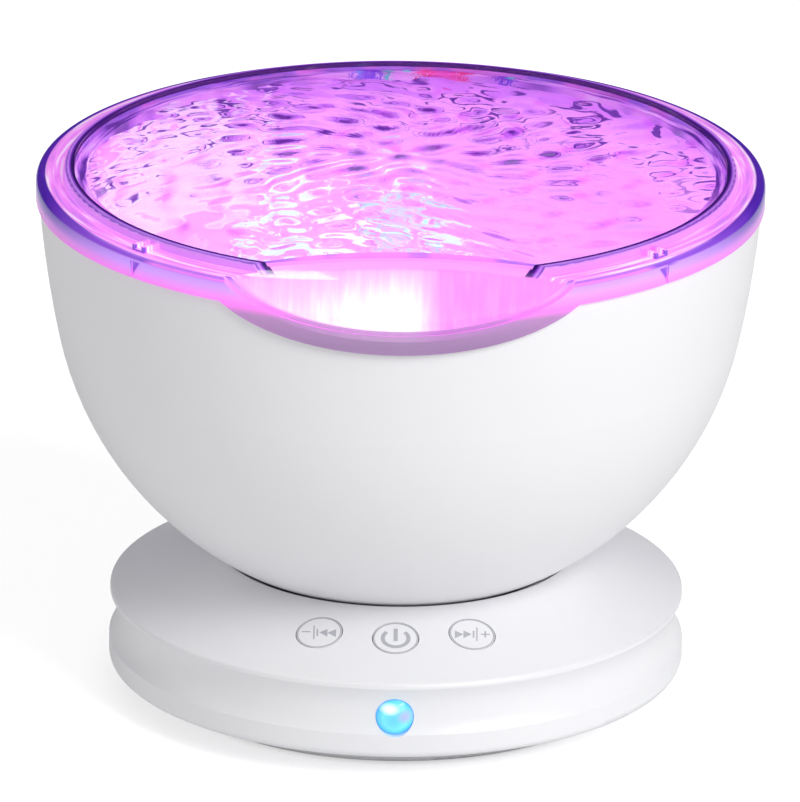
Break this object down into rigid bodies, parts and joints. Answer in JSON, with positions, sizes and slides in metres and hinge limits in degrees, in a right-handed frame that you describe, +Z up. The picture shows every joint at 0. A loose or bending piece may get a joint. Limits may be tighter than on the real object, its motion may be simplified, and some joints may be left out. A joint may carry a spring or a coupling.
{
  "type": "ocean wave projector",
  "caption": "Bowl-shaped wave light that tilts in a dish on a round base, with a turning wave disc under a rippled clear lid, push buttons, and sockets behind.",
  "frame": {"origin": "on the table, under the middle of the base", "axes": "+Z up, -Y towards the buttons and the blue window, +X to the viewer's right"},
  "size_m": [0.15, 0.15, 0.1161],
  "materials": {
    "white_abs": "satin",
    "inner_plastic": "matte",
    "clear_lid": "clear, lit from inside",
    "clear_disc": "clear, rippled",
    "blue_window": "gloss",
    "black_rubber": "matte",
    "steel": "brushed",
    "black_plastic": "matte",
    "green_board": "satin",
    "lamp_board": "satin",
    "blue_led": "clear",
    "red_lamp": "clear",
    "green_lamp": "clear",
    "blue_lamp": "clear",
    "gear_plastic": "satin",
    "brass": "polished"
  },
  "bodies": {
    "base": {"base_top_cover": "white_abs", "base_side_shell": "white_abs", "base_bottom_cover": "inner_plastic", "rubber_feet": "black_rubber", "base_screws": "steel", "speaker_frame": "black_plastic", "speaker_cone": "black_plastic", "main_board": "green_board", "board_screws": "steel", "power_socket": "steel", "aux_socket": "black_plastic", "card_socket": "steel", "key_board": "green_board", "key_board_screws": "steel", "key_switches": "black_plastic", "ir_window": "blue_window", "indicator_board": "green_board", "ir_receiver": "black_plastic", "indicator_led": "blue_led", "friction_ring": "black_rubber", "tilt_stem": "steel", "tilt_shoe": "inner_plastic", "tilt_bush": "black_rubber", "tilt_nut": "steel"},
    "bowl": {"bowl": "white_abs", "lid_frame": "clear_lid", "wave_lens": "clear_lid", "reflector_tray": "inner_plastic", "tray_screws": "steel", "led_board": "lamp_board", "red_lamps": "red_lamp", "green_lamps": "green_lamp", "blue_lamps": "blue_lamp", "spindle_bush": "brass", "motor_bracket": "steel", "bracket_screws": "steel", "gear_motor": "steel", "motor_screws": "steel"},
    "disc": {"disc_spindle": "steel", "disc_gear": "gear_plastic", "disc_hub": "clear_disc", "wave_disc": "clear_disc", "hub_cap": "clear_disc"},
    "pinion": {"motor_shaft": "steel", "motor_pinion": "gear_plastic"},
    "power_key": {"power_button": "white_abs", "power_plunger": "black_plastic"},
    "previous_key": {"previous_button": "white_abs", "previous_plunger": "black_plastic"},
    "next_key": {"next_button": "white_abs", "next_plunger": "black_plastic"}
  },
  "joints": [
    {"name": "bowl_tilt", "type": "hinge", "parent": "base", "child": "bowl", "pos_m": [0, 0, 0.0924], "axis": [-1, 0, 0], "range_deg": [0, 45]},
    {"name": "disc_spin", "type": "hinge", "parent": "bowl", "child": "disc", "pos_m": [0, 0, 0.09], "axis": [0, 0, 1], "continuous": true},
    {"name": "pinion_spin", "type": "hinge", "parent": "bowl", "child": "pinion", "pos_m": [0.02405, 0, 0.065], "axis": [0, 0, 1], "continuous": true},
    {"name": "power_press", "type": "slide", "parent": "base", "child": "power_key", "axis": [0, 0.3584, -0.9336], "range_m": [0, 0.0006], "stiffness_N_per_m": 400},
    {"name": "previous_press", "type": "slide", "parent": "base", "child": "previous_key", "axis": [0, 0.3584, -0.9336], "range_m": [0, 0.0006], "stiffness_N_per_m": 400},
    {"name": "next_press", "type": "slide", "parent": "base", "child": "next_key", "axis": [0, 0.3584, -0.9336], "range_m": [0, 0.0006], "stiffness_N_per_m": 400}
  ],
  "couplings": [
    {"joint": "pinion_spin", "follows": "disc_spin", "ratio": -3}
  ]
}
